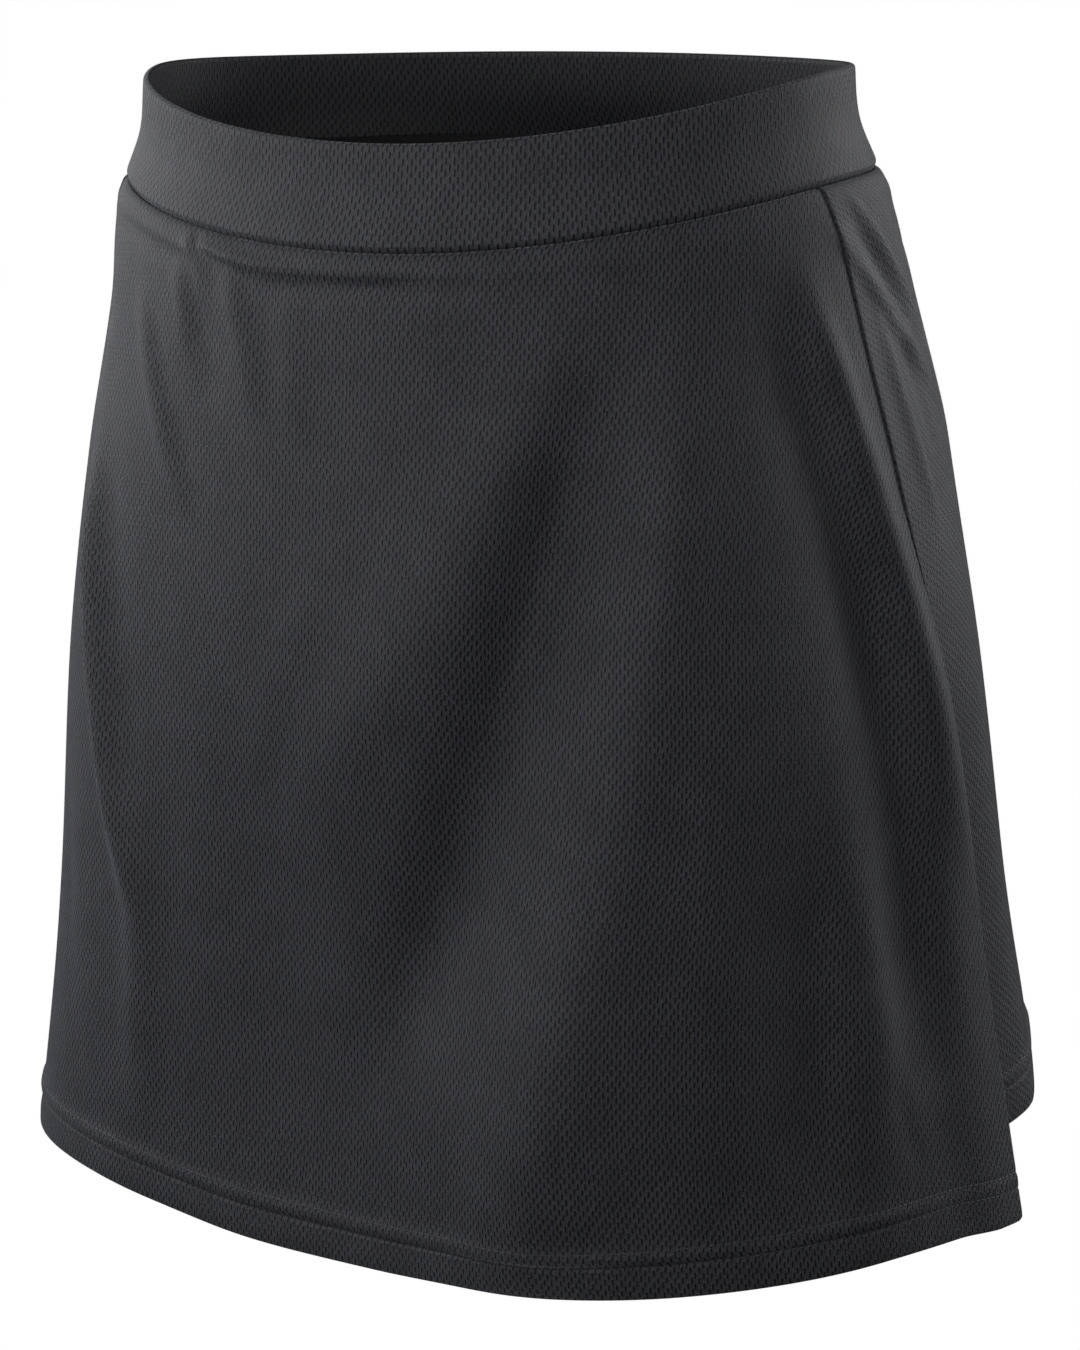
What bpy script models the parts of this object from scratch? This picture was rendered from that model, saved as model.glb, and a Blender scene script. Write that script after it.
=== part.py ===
"""Women's tennis skort: a wide waistband, front and back skirt panels with side vents, inner shorts.

The garment keeps its worn, hollow form. +X is the wearer's left, -Y the front, +Z up, and the origin
is the middle of the waist opening at the height of its side edge. Units are metres.

An angle is taken round the body from the centre front, positive towards the wearer's left, in degrees.
A drop is the distance down the side from the waistband's top edge.
"""
import math

import bmesh
import bpy
from mathutils import Vector

# Lengths down the side
BAND_DROP = 0.0352          # waistband's lower edge
FRONT_HEM_DROP = 0.407
BACK_HEM_DROP = 0.375       # the back panel ends above the front panel's corners
HEM_DEPTH = 0.020           # turned-up hem of double cloth
HEM_STEP = 0.0015           # over which the wall thins above it
BAND_ROUNDING = 0.0008      # of the waistband's edges

# Walls and gaps
BAND_WALL = 0.003           # double cloth with flat elastic between
CLOTH_WALL = 0.0014
HEM_WALL = 0.0024
SHORTS_WALL = 0.001
SEAM_GAP = 0.0003
CENTRE_GAP = 0.00025        # half the gap between the two halves of the shorts

# Girth of band and skirt: a section at each drop
SECTION_COLUMNS = ("drop", "half_width", "front_depth", "back_depth")
SKIRT_SECTIONS = (
    (0.000, 0.1346, 0.1010, 0.0880),
    (0.018, 0.1362, 0.1038, 0.0930),
    (0.0352, 0.1425, 0.1110, 0.1040),
    (0.054, 0.1485, 0.1150, 0.1130),
    (0.085, 0.1550, 0.1190, 0.1240),
    (0.134, 0.1660, 0.1260, 0.1360),
    (0.208, 0.1790, 0.1350, 0.1460),
    (0.307, 0.1892, 0.1430, 0.1510),
    (0.407, 0.2042, 0.1500, 0.1570),
)

# How far the edges and seams lie lower at the centre front than at the side
DIP_COLUMNS = ("drop", "front_dip")
FRONT_DIPS = (
    (0.000, 0.0178),
    (0.0352, 0.0188),
    (0.407, 0.0055),
)

# The front panel's side edge: seamed to the back panel above the vent, free below it
EDGE_COLUMNS = ("drop", "angle")
SIDE_EDGE = (
    (0.0352, 72.5),
    (0.110, 73.5),
    (0.150, 74.5),
    (0.190, 78.0),
    (0.240, 81.0),
    (0.300, 83.0),
    (0.407, 83.0),
)
VENT_DROP = 0.160           # the side seam ends here and the vent begins
UNDERLAP_ANGLE = 6.0        # the back panel runs on under the front panel
SEAM_RISE_ANGLE = 1.4       # round which it comes back to the surface beside the seam
VENT_RISE_ANGLE = 13.0      # and beside the open vent
VENT_DEPTH = 0.0035         # how much deeper the back panel lies at the vent
VENT_EASE = 0.120           # over which the vent opens below the side seam
HEM_LAP_EASE = 0.030        # over which the lap deepens towards the front panel's thicker hem
# The back panel's first columns, in degrees past the front panel's edge
LAP_COLUMNS = (-UNDERLAP_ANGLE, -UNDERLAP_ANGLE / 2, 0.12, SEAM_RISE_ANGLE, 4.5, 8.5)

# Soft folds of the hanging cloth, from "start" to "end" down the side, along a slanting line
FOLD_COLUMNS = ("angle_top", "angle_low", "start", "full", "fade", "end", "spread", "height")
SKIRT_FOLDS = (
    (-26.0, -26.0, 0.035, 0.407, 0.430, 0.450, 30.0, -0.0185),
    (-80.0, -80.0, 0.035, 0.407, 0.430, 0.450, 24.0, -0.0085),
    (-78.0, -78.0, 0.036, 0.080, 0.170, 0.320, 28.0, -0.0032),
    (40.0, 40.0, 0.035, 0.407, 0.430, 0.450, 34.0, 0.0125),
    (33.0, -1.0, 0.050, 0.150, 0.330, 0.440, 9.0, -0.0055),
    (43.0, 15.0, 0.060, 0.160, 0.330, 0.430, 9.0, 0.0035),
    (30.0, -22.0, 0.050, 0.120, 0.150, 0.260, 9.0, 0.0030),
    (-40.0, 6.0, 0.130, 0.230, 0.300, 0.350, 8.0, -0.0050),
    (-68.0, -36.0, 0.110, 0.200, 0.300, 0.360, 6.0, 0.0035),
    (64.0, 71.0, 0.060, 0.140, 0.320, 0.390, 5.0, -0.0050),
    (55.0, 54.0, 0.230, 0.310, 0.380, 0.440, 5.0, -0.0045),
    (62.5, 64.0, 0.230, 0.310, 0.360, 0.420, 3.5, 0.0020),
    (104.0, 108.0, 0.120, 0.200, 0.290, 0.350, 5.0, -0.0045),
    (120.0, 117.0, 0.100, 0.240, 0.430, 0.450, 9.0, 0.0050),
    (139.0, 150.0, 0.060, 0.160, 0.300, 0.400, 8.0, -0.0055),
    (163.0, 172.0, 0.090, 0.230, 0.430, 0.450, 10.0, 0.0050),
    (186.0, 194.0, 0.060, 0.170, 0.330, 0.420, 8.0, -0.0050),
    (214.0, 206.0, 0.110, 0.250, 0.430, 0.450, 10.0, 0.0060),
    (230.0, 236.0, 0.070, 0.180, 0.300, 0.400, 8.0, -0.0050),
    (252.0, 247.0, 0.130, 0.230, 0.380, 0.430, 6.0, 0.0040),
)

# Inner shorts: hip sections, then a leg tube whose inside runs from the crotch curve to the hem
SHORTS_TOP = 0.0300
SHORTS_SECTIONS = (
    (0.030, 0.1356, 0.1045, 0.0963),
    (0.054, 0.1420, 0.1088, 0.1055),
    (0.085, 0.1465, 0.1115, 0.1155),
    (0.134, 0.1540, 0.1150, 0.1225),
    (0.215, 0.1610, 0.1070, 0.1200),
)
CROTCH_SEAM_DROP = 0.215    # where the centre seams turn under
CROTCH_DROP = 0.272
LEG_HEM_DROP = 0.345
HIP_SIDE_DROP = 0.025       # how much lower the hip meets the leg at the side than at the centre
LEG_CENTRE_X = 0.0915
LEG_HALF_WIDTH = 0.0780
LEG_HALF_DEPTH = 0.0900
LEG_OUTER_START = -35.0     # round the leg, the outer panel spans this angle to its mirror image
FULL_TURN = 360.0

# Mesh steps
BAND_COLUMNS = 64
FRONT_COLUMNS = 50
BACK_COLUMNS = 60
SHORTS_OUTER_COLUMNS = 22
SHORTS_INNER_COLUMNS = 10
SHORTS_HIP_ROWS = 6
SHORTS_LEG_ROWS = 4
PANEL_ROW_STEP = 0.0205
BAND_ROWS = 3
NORMAL_STEP_ANGLE = 0.5
NORMAL_STEP_DROP = 0.0008

CHARCOAL = (0.030, 0.031, 0.034, 1.0)
CHARCOAL_INSIDE = (0.024, 0.025, 0.027, 1.0)
MESH_ROUGHNESS = 0.75
JERSEY_ROUGHNESS = 0.8


def smooth(share):
    """Ease from 0 to 1."""
    share = min(max(share, 0.0), 1.0)
    return share * share * (3.0 - 2.0 * share)


def read_table(rows, drop):
    """The columns after the first, read from a table at this drop along smooth curves."""
    if drop <= rows[0][0]:
        return rows[0][1:]
    if drop >= rows[-1][0]:
        return rows[-1][1:]
    low = max(i for i, row in enumerate(rows[:-1]) if row[0] <= drop)
    span = rows[low + 1][0] - rows[low][0]
    share = (drop - rows[low][0]) / span
    values = []
    for column in range(1, len(rows[0])):
        slopes = []
        for at in (low, low + 1):
            before = rows[max(at - 1, 0)]
            after = rows[min(at + 1, len(rows) - 1)]
            slopes.append((after[column] - before[column]) / (after[0] - before[0]) * span)
        start = rows[low][column]
        rise = rows[low + 1][column] - start
        bend = share * (1.0 - share)
        values.append(start + rise * smooth(share)
                      + bend * (slopes[0] * (1.0 - share) - slopes[1] * share))
    return values


def fold_height(angle, drop):
    """Sum of the soft folds at a point of the skirt."""
    total = 0.0
    for angle_top, angle_low, start, full, fade, end, spread, height in SKIRT_FOLDS:
        if not start < drop < end:
            continue
        line = angle_top + (angle_low - angle_top) * (drop - start) / (end - start)
        away = (angle - line + 180.0) % FULL_TURN - 180.0
        strength = smooth((drop - start) / (full - start)) * (1.0 - smooth((drop - fade) / (end - fade)))
        total += height * strength * math.exp(-((away / spread) ** 2))
    return total


def ring_point(sections, angle, drop, swell=0.0):
    """A point of an oval section, moved out by swell, with the front's dip."""
    half_width, front_depth, back_depth = read_table(sections, drop)
    turn = math.radians(angle)
    side, ahead = math.sin(turn), math.cos(turn)
    depth = front_depth if ahead > 0.0 else back_depth
    out_x, out_y = depth * side, -half_width * ahead
    length = math.hypot(out_x, out_y)
    dip = read_table(FRONT_DIPS, drop)[0] * max(ahead, 0.0) ** 2
    return Vector((half_width * side + swell * out_x / length,
                   -depth * ahead + swell * out_y / length,
                   -drop - dip))


def cloth_point(angle, drop, out=0.0):
    """A point of the band or skirt, moved out along the cloth's own normal."""
    def at(angle, drop):
        return ring_point(SKIRT_SECTIONS, angle, drop, fold_height(angle, drop))
    point = at(angle, drop)
    if out:
        around = at(angle + NORMAL_STEP_ANGLE, drop) - at(angle - NORMAL_STEP_ANGLE, drop)
        down = at(angle, drop + NORMAL_STEP_DROP) - at(angle, drop - NORMAL_STEP_DROP)
        point += down.cross(around).normalized() * out
    return point


def edge_angle(drop):
    """Angle of the front panel's side edge."""
    return read_table(SIDE_EDGE, drop)[0]


def back_offset(past_edge, drop):
    """How far the back panel lies under the surface, at an angle past the front panel's edge."""
    open_share = smooth((drop - VENT_DROP) / VENT_EASE)
    lap = CLOTH_WALL + SEAM_GAP
    hem_share = smooth((drop - (FRONT_HEM_DROP - HEM_DEPTH - HEM_LAP_EASE)) / HEM_LAP_EASE)
    lap += (HEM_WALL - CLOTH_WALL) * hem_share
    seam_share = 1.0 - smooth(past_edge / SEAM_RISE_ANGLE)
    vent_share = 1.0 - smooth(past_edge / VENT_RISE_ANGLE)
    return -lap * (seam_share + (vent_share - seam_share) * open_share) - VENT_DEPTH * open_share * vent_share


def material(name, colour, roughness):
    """A Principled material of one colour."""
    made = bpy.data.materials.new(name)
    made.use_nodes = True
    shader = made.node_tree.nodes["Principled BSDF"]
    shader.inputs["Base Color"].default_value = colour
    shader.inputs["Roughness"].default_value = roughness
    shader.inputs["Metallic"].default_value = 0.0
    return made


def grid_piece(columns, rows, place, closed=False, keep=None):
    """An open surface: a grid of columns round the body and rows up it, each point placed by a function."""
    mesh = bmesh.new()
    bmesh.ops.create_grid(mesh, x_segments=columns, y_segments=rows, size=0.5)
    steps = {vert: (round((vert.co.x + 0.5) * columns), round((vert.co.y + 0.5) * rows))
             for vert in mesh.verts}
    if keep:
        dropped = [face for face in mesh.faces
                   if not keep(min(steps[v][0] for v in face.verts), min(steps[v][1] for v in face.verts))]
        bmesh.ops.delete(mesh, geom=dropped, context="FACES")
    for vert in mesh.verts:
        column, row = steps[vert]
        vert.co = place(column, row)
    if closed:
        bmesh.ops.remove_doubles(mesh, verts=mesh.verts, dist=0.00001)
    return mesh


def finish_piece(name, mesh, made_of, collection, parent, wall, thin=None, thick_verts=None):
    """Put a surface into an object and give it its wall inwards."""
    data = bpy.data.meshes.new(name)
    mesh.to_mesh(data)
    mesh.free()
    data.materials.append(made_of)
    data.shade_smooth()
    piece = bpy.data.objects.new(name, data)
    collection.objects.link(piece)
    piece.parent = parent
    solid = piece.modifiers.new("wall", "SOLIDIFY")
    solid.thickness = wall
    solid.offset = -1.0
    solid.use_even_offset = True
    solid.use_quality_normals = True
    if thick_verts is not None:
        group = piece.vertex_groups.new(name="hem")
        group.add([v.index for v in data.vertices if thick_verts(v.co)], 1.0, "REPLACE")
        solid.vertex_group = "hem"
        solid.thickness_vertex_group = thin / wall
    return piece


def panel_drops(hem_drop):
    """The drops of a panel's rows, from the hem up, close together where the hem's double cloth ends."""
    hem_top = hem_drop - HEM_DEPTH
    top = BAND_DROP + SEAM_GAP
    count = round((hem_top - HEM_STEP - top) / PANEL_ROW_STEP)
    step = (hem_top - HEM_STEP - top) / count
    return [hem_drop, hem_drop - HEM_DEPTH / 2, hem_top] + [hem_top - HEM_STEP - step * i
                                                            for i in range(count + 1)]


def build_waistband(collection, parent):
    """One ring of double cloth, with rounded edges."""
    def place(column, row):
        return cloth_point(FULL_TURN * column / BAND_COLUMNS, BAND_DROP * (1.0 - row / BAND_ROWS))
    mesh = grid_piece(BAND_COLUMNS, BAND_ROWS, place, closed=True)
    cloth = material("band_cloth", CHARCOAL, MESH_ROUGHNESS)
    piece = finish_piece("waistband", mesh, cloth, collection, parent, BAND_WALL)
    rounding = piece.modifiers.new("rounded_edges", "BEVEL")
    rounding.width = BAND_ROUNDING
    rounding.segments = 1
    rounding.limit_method = "ANGLE"
    rounding.angle_limit = math.radians(60.0)


def hem_test(hem_drop):
    """True for the points of the hem's double cloth."""
    def inside(co):
        dip = read_table(FRONT_DIPS, hem_drop)[0]
        depth = read_table(SKIRT_SECTIONS, hem_drop)[1]
        ahead = min(max(-co.y / depth, 0.0), 1.0)
        return co.z < -(hem_drop - HEM_DEPTH) - dip * ahead ** 2 + HEM_STEP / 3
    return inside


def build_front_panel(collection, parent):
    """From side edge to side edge across the front."""
    drops = panel_drops(FRONT_HEM_DROP)

    def place(column, row):
        drop = drops[row]
        edge = edge_angle(drop)
        return cloth_point(edge * (2.0 * column / FRONT_COLUMNS - 1.0), drop)
    mesh = grid_piece(FRONT_COLUMNS, len(drops) - 1, place)
    finish_piece("front_panel", mesh, material("front_cloth", CHARCOAL, MESH_ROUGHNESS), collection, parent,
                 HEM_WALL, CLOTH_WALL, hem_test(FRONT_HEM_DROP))


def build_back_panel(collection, parent):
    """Round the back from under one edge of the front panel to under the other."""
    drops = panel_drops(BACK_HEM_DROP)
    last = len(LAP_COLUMNS) - 1
    plain = BACK_COLUMNS - 2 * last

    def past_edge(column, edge):
        if column <= last:
            return LAP_COLUMNS[column]
        return LAP_COLUMNS[last] + (180.0 - edge - LAP_COLUMNS[last]) * 2.0 * (column - last) / plain

    def place(column, row):
        drop = drops[row]
        edge = edge_angle(drop)
        if column <= BACK_COLUMNS / 2:
            past = past_edge(column, edge)
            return cloth_point(edge + past, drop, back_offset(past, drop))
        past = past_edge(BACK_COLUMNS - column, edge)
        return cloth_point(FULL_TURN - edge - past, drop, back_offset(past, drop))
    mesh = grid_piece(BACK_COLUMNS, len(drops) - 1, place)
    finish_piece("back_panel", mesh, material("back_cloth", CHARCOAL, MESH_ROUGHNESS), collection, parent,
                 HEM_WALL, CLOTH_WALL, hem_test(BACK_HEM_DROP))


def crotch_ring(turn):
    """The ring where hip and leg meet: round the outside over 0 to 1, back along the crotch over 1 to 2."""
    if turn <= 1.0:
        point = ring_point(SHORTS_SECTIONS, 180.0 * turn, CROTCH_SEAM_DROP)
        dip = read_table(FRONT_DIPS, CROTCH_SEAM_DROP)[0] * max(math.cos(math.pi * turn), 0.0) ** 2
        lowered = HIP_SIDE_DROP * math.sin(math.pi * turn)
        return Vector((point.x + CENTRE_GAP, point.y, point.z + dip - lowered))
    inward = turn - 1.0
    front, back = (ring_point(SHORTS_SECTIONS, angle, CROTCH_SEAM_DROP).y for angle in (0.0, 180.0))
    sag = math.sin(math.pi * inward)
    return Vector((CENTRE_GAP, (back + front) / 2 + (back - front) / 2 * math.cos(math.pi * inward),
                   -CROTCH_SEAM_DROP - (CROTCH_DROP - CROTCH_SEAM_DROP) * sag))


def leg_ring(turn):
    """The leg's hem, an oval, in the same order as the crotch ring."""
    outer_span = 180.0 - 2.0 * LEG_OUTER_START
    if turn <= 1.0:
        angle = LEG_OUTER_START + outer_span * turn
    else:
        angle = LEG_OUTER_START + outer_span + (FULL_TURN - outer_span) * (turn - 1.0)
    angle = math.radians(angle)
    return Vector((LEG_CENTRE_X + LEG_HALF_WIDTH * math.sin(angle), -LEG_HALF_DEPTH * math.cos(angle),
                   -LEG_HEM_DROP))


def build_shorts(collection, parent):
    """Two plain halves: each wraps one hip and closes round its leg below the crotch."""
    columns = SHORTS_OUTER_COLUMNS + SHORTS_INNER_COLUMNS
    rows = SHORTS_HIP_ROWS + SHORTS_LEG_ROWS

    def place(column, row):
        if column <= SHORTS_OUTER_COLUMNS:
            turn = column / SHORTS_OUTER_COLUMNS
        else:
            turn = 1.0 + (column - SHORTS_OUTER_COLUMNS) / SHORTS_INNER_COLUMNS
        if row <= SHORTS_LEG_ROWS:
            share = row / SHORTS_LEG_ROWS
            return leg_ring(turn).lerp(crotch_ring(turn), share)
        share = (row - SHORTS_LEG_ROWS) / SHORTS_HIP_ROWS
        drop = CROTCH_SEAM_DROP + (SHORTS_TOP - CROTCH_SEAM_DROP) * share
        point = ring_point(SHORTS_SECTIONS, 180.0 * min(turn, 1.0), drop)
        dip = read_table(FRONT_DIPS, drop)[0] * max(math.cos(math.pi * turn), 0.0) ** 2
        lowered = HIP_SIDE_DROP * math.sin(math.pi * min(turn, 1.0)) * (1.0 - share) ** 2
        return Vector((point.x + CENTRE_GAP, point.y, point.z + dip * (1.0 - share) - lowered))

    def keep(column, row):
        return column < SHORTS_OUTER_COLUMNS or row < SHORTS_LEG_ROWS

    for name, mirrored in (("shorts_left", False), ("shorts_right", True)):
        mesh = grid_piece(columns, rows, place, closed=True, keep=keep)
        if mirrored:
            for vert in mesh.verts:
                vert.co.x = -vert.co.x
            bmesh.ops.reverse_faces(mesh, faces=mesh.faces)
        cloth = material(name + "_cloth", CHARCOAL_INSIDE, JERSEY_ROUGHNESS)
        finish_piece(name, mesh, cloth, collection, parent, SHORTS_WALL)


def build_skort():
    """All the pieces, under one empty at the waist."""
    for old in list(bpy.data.objects):
        bpy.data.objects.remove(old, do_unlink=True)
    collection = bpy.data.collections.new("tennis_skort")
    bpy.context.scene.collection.children.link(collection)
    waist = bpy.data.objects.new("waist", None)
    collection.objects.link(waist)
    build_waistband(collection, waist)
    build_front_panel(collection, waist)
    build_back_panel(collection, waist)
    build_shorts(collection, waist)


build_skort()
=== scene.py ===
"""The looks of a women's tennis skort in charcoal mesh knit, worn and hollow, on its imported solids.

An angle is taken round the body from the centre front, positive towards the wearer's left, in degrees.
A drop is the distance down the side from the waistband's top edge. Units are metres.
"""
import math

import bmesh
import bpy
import numpy as np
from mathutils import Matrix, Vector


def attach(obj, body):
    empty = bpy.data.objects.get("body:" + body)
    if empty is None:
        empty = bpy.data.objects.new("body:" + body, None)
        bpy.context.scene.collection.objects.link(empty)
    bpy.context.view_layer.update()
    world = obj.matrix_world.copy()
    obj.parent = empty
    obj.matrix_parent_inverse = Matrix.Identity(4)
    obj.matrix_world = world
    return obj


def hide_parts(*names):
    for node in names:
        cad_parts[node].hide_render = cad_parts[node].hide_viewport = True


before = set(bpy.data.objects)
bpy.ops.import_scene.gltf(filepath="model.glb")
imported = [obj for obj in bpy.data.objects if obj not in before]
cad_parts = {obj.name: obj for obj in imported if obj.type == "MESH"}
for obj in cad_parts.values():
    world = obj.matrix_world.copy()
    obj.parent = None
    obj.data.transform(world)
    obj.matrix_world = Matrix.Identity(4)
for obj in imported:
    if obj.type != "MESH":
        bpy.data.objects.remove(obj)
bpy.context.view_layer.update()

# ----------------------------------------
# The garment's form: sizes and girths as in the solids, folds drawn out further
# ----------------------------------------
BAND_DROP = 0.0352          # waistband's lower edge
FRONT_HEM_DROP = 0.407
BACK_HEM_DROP = 0.375
HEM_DEPTH = 0.020           # turned-up hem
CLOTH_WALL = 0.0014         # of the solids, for the lap of the panels
HEM_WALL = 0.0024
BAND_WALL = 0.003
SEAM_GAP = 0.0003
VENT_DROP = 0.160           # the side seam ends here and the vent begins
UNDERLAP_ANGLE = 6.0        # of the back panel under the front panel's edge
SEAM_RISE_ANGLE = 0.15      # the back panel comes up beside the seam over this angle
VENT_RISE_ANGLE = 13.0      # and beside the vent over this one
VENT_DEPTH = 0.0035         # the vent's edge stands this far off the back panel
VENT_EASE = 0.120           # the vent opens over this drop
HEM_LAP_EASE = 0.030        # the lap deepens for the front's hem over this drop
FULL_TURN = 360.0

# Girth: drop, half_width, front_depth, back_depth
SKIRT_SECTIONS = (
    (0.000, 0.1346, 0.1010, 0.0880),
    (0.018, 0.1362, 0.1038, 0.0930),
    (0.0352, 0.1425, 0.1110, 0.1040),
    (0.054, 0.1485, 0.1150, 0.1130),
    (0.085, 0.1550, 0.1190, 0.1240),
    (0.134, 0.1660, 0.1260, 0.1360),
    (0.208, 0.1790, 0.1350, 0.1460),
    (0.307, 0.1892, 0.1430, 0.1510),
    (0.407, 0.2042, 0.1500, 0.1570),
)
# How far edges and seams lie lower at the centre front: drop, front_dip
FRONT_DIPS = (
    (0.000, 0.0178),
    (0.0352, 0.0188),
    (0.407, 0.0055),
)
# The front panel's side edge: drop, angle
SIDE_EDGE = (
    (0.0352, 72.6),
    (0.075, 74.6),
    (0.125, 76.0),
    (0.160, 77.0),
    (0.190, 78.6),
    (0.240, 81.0),
    (0.300, 83.0),
    (0.407, 83.0),
)
# Large soft folds: angle_top, angle_low, start, full, fade, end, spread_before, spread_after, height.
# A fold is as wide as spread_before on its side of smaller angles, and spread_after on the other.
SKIRT_FOLDS = (
    # the broad set of the cloth
    (-26.0, -26.0, 0.035, 0.407, 0.430, 0.450, 30.0, 30.0, -0.0185),
    (-80.0, -80.0, 0.035, 0.407, 0.430, 0.450, 24.0, 24.0, -0.0085),
    (-78.0, -78.0, 0.036, 0.080, 0.170, 0.320, 28.0, 28.0, -0.0032),
    (40.0, 40.0, 0.035, 0.407, 0.430, 0.450, 34.0, 34.0, 0.0125),
    # front: the long slanting valley and the ridges on both sides of it
    (34.0, -1.5, 0.045, 0.185, 0.265, 0.365, 5.6, 7.4, -0.0120),
    (0.0, 0.0, 0.160, 0.310, 0.430, 0.450, 18.0, 18.0, -0.0105),
    (44.0, 12.0, 0.060, 0.150, 0.340, 0.430, 6.0, 6.0, 0.0055),
    (52.0, 20.0, 0.060, 0.170, 0.340, 0.430, 12.0, 12.0, 0.0042),
    (28.0, -14.0, 0.050, 0.110, 0.190, 0.280, 7.0, 7.0, 0.0030),
    (26.0, 14.0, 0.240, 0.330, 0.370, 0.440, 8.0, 8.0, 0.0045),
    # wearer's right front: a narrow ridge with a shallow trough beside it
    (-55.0, -37.0, 0.100, 0.170, 0.250, 0.310, 3.3, 3.0, 0.0072),
    (-38.0, -36.0, 0.210, 0.280, 0.320, 0.400, 3.6, 3.6, 0.0032),
    (-22.0, -10.0, 0.150, 0.280, 0.340, 0.410, 10.0, 10.0, -0.0050),
    # wearer's left front
    (57.0, 70.0, 0.050, 0.110, 0.160, 0.250, 7.0, 5.2, -0.0056),
    (67.5, 68.5, 0.130, 0.210, 0.300, 0.360, 9.0, 4.6, -0.0086),
    (67.0, 70.0, 0.310, 0.350, 0.400, 0.450, 12.0, 6.0, -0.0040),
    (63.0, 82.5, 0.050, 0.100, 0.210, 0.310, 4.5, 3.4, 0.0044),
    (52.5, 49.5, 0.220, 0.300, 0.350, 0.410, 7.0, 4.2, -0.0066),
    (60.5, 60.5, 0.230, 0.300, 0.330, 0.380, 3.5, 3.5, 0.0024),
    # flutes of the back
    (104.0, 108.0, 0.120, 0.200, 0.290, 0.350, 5.0, 5.0, -0.0045),
    (121.0, 118.0, 0.100, 0.300, 0.430, 0.450, 9.0, 9.0, 0.0036),
    (139.0, 150.0, 0.060, 0.160, 0.300, 0.400, 8.0, 8.0, -0.0055),
    (163.0, 172.0, 0.090, 0.230, 0.430, 0.450, 10.0, 10.0, 0.0050),
    (186.0, 194.0, 0.060, 0.170, 0.330, 0.420, 8.0, 8.0, -0.0050),
    (214.0, 206.0, 0.110, 0.250, 0.430, 0.450, 10.0, 10.0, 0.0060),
    (230.0, 236.0, 0.070, 0.180, 0.300, 0.400, 8.0, 8.0, -0.0050),
    (252.0, 247.0, 0.130, 0.230, 0.380, 0.430, 6.0, 6.0, 0.0040),
)
# Inner shorts: drop, half_width, front_depth, back_depth
SHORTS_TOP = 0.0335
SHORTS_SECTIONS = (
    (0.0335, 0.1380, 0.1065, 0.0995),
    (0.054, 0.1420, 0.1088, 0.1055),
    (0.085, 0.1465, 0.1115, 0.1155),
    (0.134, 0.1540, 0.1150, 0.1225),
    (0.215, 0.1610, 0.1070, 0.1200),
)
CROTCH_SEAM_DROP = 0.215
CROTCH_DROP = 0.272
LEG_HEM_DROP = 0.345
HIP_SIDE_DROP = 0.025
LEG_CENTRE_X = 0.0915
LEG_HALF_WIDTH = 0.0780
LEG_HALF_DEPTH = 0.0900
LEG_OUTER_START = -35.0

# ----------------------------------------
# The finer make of the garment
# ----------------------------------------
KNIT_WALL = 0.0006          # one layer of the mesh knit
LAYER_GAP = 0.00015         # between turned layers
JERSEY_WALL = 0.0005
FACING_WIDTH = 0.010        # cloth turned in along the front panel's side edges
CORNER_ROUNDING = 0.0022    # of the front panel's lower corners
BAND_STRETCH = 1.11         # the band's cloth is drawn open over its elastic
COVER_LOW = 0.0122          # the hem's two rows of coverstitch, above its edge
COVER_HIGH = 0.0180
LAYER = 2 * KNIT_WALL + LAYER_GAP
# What the sewn lines do to the cloth
WAIST_GROOVE_DEPTH = 0.0019
WAIST_GROOVE_WIDTH = 0.0011
WAIST_PUFF_HEIGHT = 0.0011
WAIST_PUFF_WIDTH = 0.0046
WAIST_PUFF_BELOW = 0.0080   # the waist seam
SIDE_SEAM_RELIEF = 0.0004
SIDE_GROOVE_WIDTH = 0.0026
SIDE_PUFF_WIDTH = 0.0050
LOW_ROW_DEPTH = 0.0012      # of the groove that each row of coverstitch lies in
LOW_ROW_WIDTH = 0.0006
HIGH_ROW_DEPTH = 0.0003
HIGH_ROW_WIDTH = 0.0008
HEM_ROLL_HEIGHT = 0.0012
HEM_ROLL_WIDTH = 0.0032
HEM_ROLL_ABOVE = 0.0034     # the lower row
HEM_EDGE_BULGE = 0.0004
HEM_EDGE_WIDTH = 0.0040

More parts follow.
